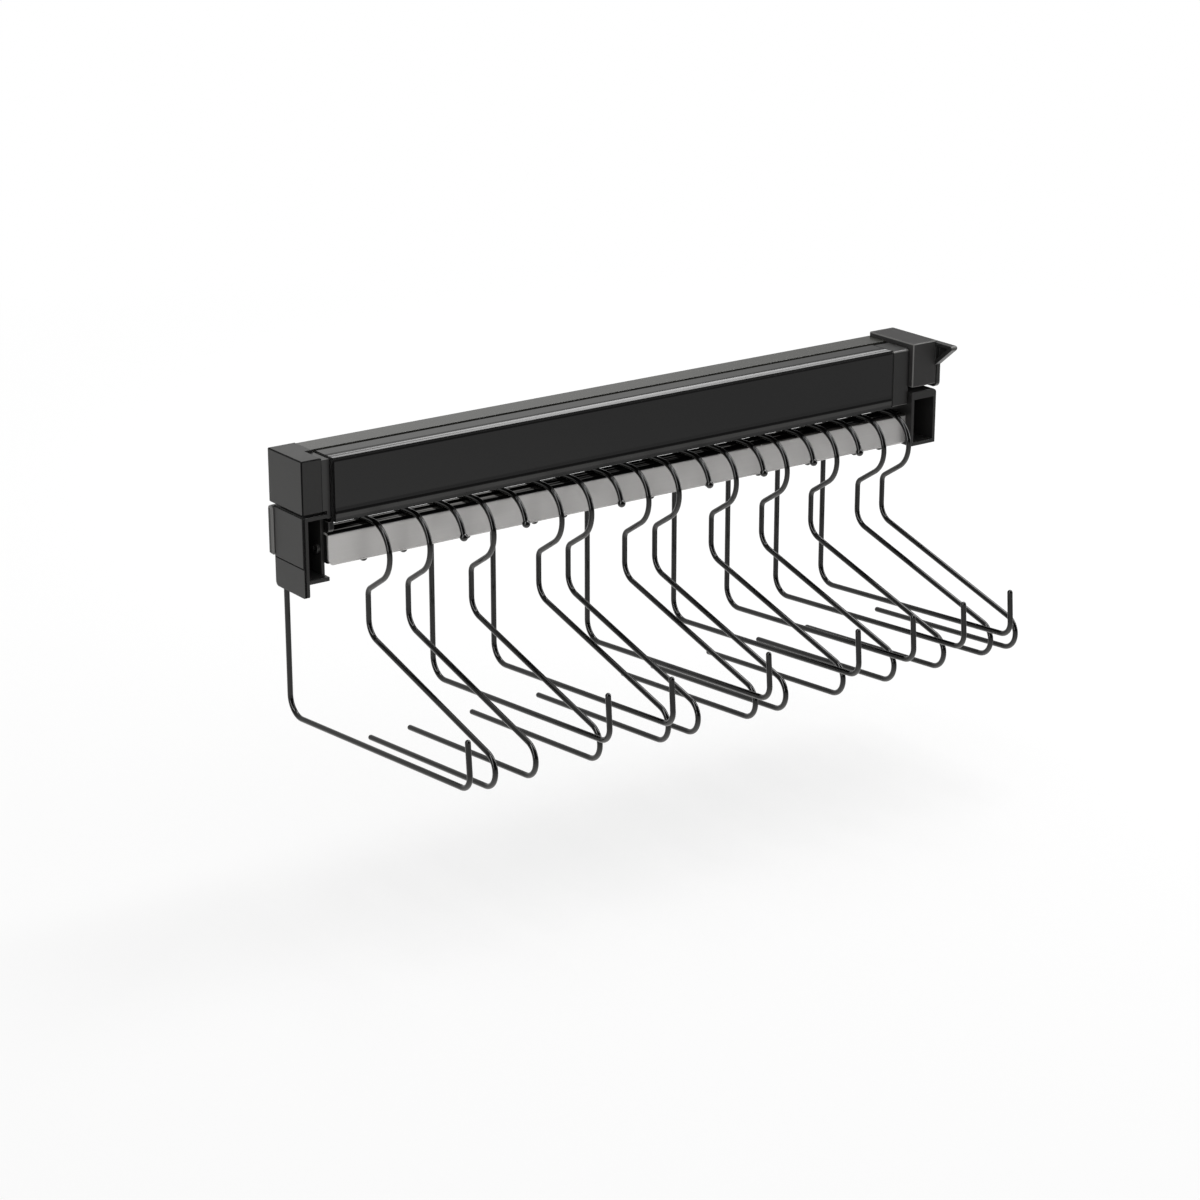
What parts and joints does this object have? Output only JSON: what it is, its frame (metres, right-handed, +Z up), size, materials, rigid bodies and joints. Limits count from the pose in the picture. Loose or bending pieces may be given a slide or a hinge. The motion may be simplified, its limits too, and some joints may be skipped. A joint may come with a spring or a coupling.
{
  "type": "pull-out trouser rack",
  "caption": "Side-mounted pull-out trouser rack: black rail and front profile on a ball slide, satin hanger bar and a row of black wire trouser hangers.",
  "frame": {"origin": "axis of the middle wall screw, in the plane of the fixed rail's mounting face", "axes": "+X along the rail towards the back of the wardrobe, -Y out from the wall, +Z up"},
  "size_m": [0.5069, 0.21, 0.1936],
  "materials": {
    "black_anodised": "satin",
    "black_moulding": "satin",
    "dark_plug": "matte",
    "slide_steel": "satin",
    "cage_nylon": "satin",
    "ball_steel": "polished",
    "rivet_steel": "satin",
    "dark_screw": "satin",
    "buffer_rubber": "matte",
    "arm_steel": "satin",
    "satin_bar": "satin",
    "black_wire": "gloss"
  },
  "bodies": {
    "rail": {"fixed_rail": "black_anodised", "slide_outer_member": "slide_steel", "outer_member_rivets": "rivet_steel", "rail_end_block": "black_moulding", "rear_end_plate": "black_moulding", "end_plate_screws": "dark_screw", "closing_buffer": "buffer_rubber"},
    "middle_slide": {"slide_middle_member": "slide_steel"},
    "outer_cage": {"outer_ball_cage": "cage_nylon", "outer_balls": "ball_steel"},
    "inner_cage": {"inner_ball_cage": "cage_nylon", "inner_balls": "ball_steel"},
    "carriage": {"slide_inner_member": "slide_steel", "inner_member_rivets": "rivet_steel", "front_profile": "black_anodised", "near_cap": "black_moulding", "neck_plug": "dark_plug", "far_plug": "black_moulding", "near_bracket": "black_moulding", "bracket_cover": "black_moulding", "bracket_back_pad": "black_moulding", "bracket_screws": "dark_screw", "carrier_arm": "arm_steel", "arm_screws": "dark_screw", "far_bracket": "black_moulding", "hanger_bar": "satin_bar", "near_bar_plug": "dark_plug", "far_bar_plug": "dark_plug", "bar_screws": "dark_screw", "end_hanger": "black_wire"},
    "hanger_02_body": {"hanger_02": "black_wire"},
    "hanger_03_body": {"hanger_03": "black_wire"},
    "hanger_04_body": {"hanger_04": "black_wire"},
    "hanger_05_body": {"hanger_05": "black_wire"},
    "hanger_06_body": {"hanger_06": "black_wire"},
    "hanger_07_body": {"hanger_07": "black_wire"},
    "hanger_08_body": {"hanger_08": "black_wire"},
    "hanger_09_body": {"hanger_09": "black_wire"},
    "hanger_10_body": {"hanger_10": "black_wire"},
    "hanger_11_body": {"hanger_11": "black_wire"},
    "hanger_12_body": {"hanger_12": "black_wire"},
    "hanger_13_body": {"hanger_13": "black_wire"},
    "hanger_14_body": {"hanger_14": "black_wire"},
    "hanger_15_body": {"hanger_15": "black_wire"},
    "hanger_16_body": {"hanger_16": "black_wire"},
    "hanger_17_body": {"hanger_17": "black_wire"},
    "hanger_18_body": {"hanger_18": "black_wire"},
    "hanger_19_body": {"hanger_19": "black_wire"},
    "hanger_20_body": {"hanger_20": "black_wire"}
  },
  "joints": [
    {"name": "pull_out", "type": "slide", "parent": "rail", "child": "carriage", "axis": [-1, 0, 0], "range_m": [0, 0.45]},
    {"name": "middle_slide_run", "type": "slide", "parent": "rail", "child": "middle_slide", "axis": [-1, 0, 0], "range_m": [0, 0.225]},
    {"name": "outer_cage_run", "type": "slide", "parent": "rail", "child": "outer_cage", "axis": [-1, 0, 0], "range_m": [0, 0.1125]},
    {"name": "inner_cage_run", "type": "slide", "parent": "rail", "child": "inner_cage", "axis": [-1, 0, 0], "range_m": [0, 0.3375]},
    {"name": "hanger_02_shift", "type": "slide", "parent": "carriage", "child": "hanger_02_body", "axis": [1, 0, 0], "range_m": [-0.007, 0.007]},
    {"name": "hanger_03_shift", "type": "slide", "parent": "carriage", "child": "hanger_03_body", "axis": [1, 0, 0], "range_m": [-0.007, 0.007]},
    {"name": "hanger_04_shift", "type": "slide", "parent": "carriage", "child": "hanger_04_body", "axis": [1, 0, 0], "range_m": [-0.007, 0.007]},
    {"name": "hanger_05_shift", "type": "slide", "parent": "carriage", "child": "hanger_05_body", "axis": [1, 0, 0], "range_m": [-0.007, 0.007]},
    {"name": "hanger_06_shift", "type": "slide", "parent": "carriage", "child": "hanger_06_body", "axis": [1, 0, 0], "range_m": [-0.007, 0.007]},
    {"name": "hanger_07_shift", "type": "slide", "parent": "carriage", "child": "hanger_07_body", "axis": [1, 0, 0], "range_m": [-0.007, 0.007]},
    {"name": "hanger_08_shift", "type": "slide", "parent": "carriage", "child": "hanger_08_body", "axis": [1, 0, 0], "range_m": [-0.007, 0.007]},
    {"name": "hanger_09_shift", "type": "slide", "parent": "carriage", "child": "hanger_09_body", "axis": [1, 0, 0], "range_m": [-0.007, 0.007]},
    {"name": "hanger_10_shift", "type": "slide", "parent": "carriage", "child": "hanger_10_body", "axis": [1, 0, 0], "range_m": [-0.007, 0.007]},
    {"name": "hanger_11_shift", "type": "slide", "parent": "carriage", "child": "hanger_11_body", "axis": [1, 0, 0], "range_m": [-0.007, 0.007]},
    {"name": "hanger_12_shift", "type": "slide", "parent": "carriage", "child": "hanger_12_body", "axis": [1, 0, 0], "range_m": [-0.007, 0.007]},
    {"name": "hanger_13_shift", "type": "slide", "parent": "carriage", "child": "hanger_13_body", "axis": [1, 0, 0], "range_m": [-0.007, 0.007]},
    {"name": "hanger_14_shift", "type": "slide", "parent": "carriage", "child": "hanger_14_body", "axis": [1, 0, 0], "range_m": [-0.007, 0.007]},
    {"name": "hanger_15_shift", "type": "slide", "parent": "carriage", "child": "hanger_15_body", "axis": [1, 0, 0], "range_m": [-0.007, 0.007]},
    {"name": "hanger_16_shift", "type": "slide", "parent": "carriage", "child": "hanger_16_body", "axis": [1, 0, 0], "range_m": [-0.007, 0.007]},
    {"name": "hanger_17_shift", "type": "slide", "parent": "carriage", "child": "hanger_17_body", "axis": [1, 0, 0], "range_m": [-0.007, 0.007]},
    {"name": "hanger_18_shift", "type": "slide", "parent": "carriage", "child": "hanger_18_body", "axis": [1, 0, 0], "range_m": [-0.007, 0.007]},
    {"name": "hanger_19_shift", "type": "slide", "parent": "carriage", "child": "hanger_19_body", "axis": [1, 0, 0], "range_m": [-0.007, 0.007]},
    {"name": "hanger_20_shift", "type": "slide", "parent": "carriage", "child": "hanger_20_body", "axis": [1, 0, 0], "range_m": [-0.007, 0.007]}
  ],
  "couplings": [
    {"joint": "middle_slide_run", "follows": "pull_out", "ratio": 0.5},
    {"joint": "outer_cage_run", "follows": "pull_out", "ratio": 0.25},
    {"joint": "inner_cage_run", "follows": "pull_out", "ratio": 0.75}
  ]
}
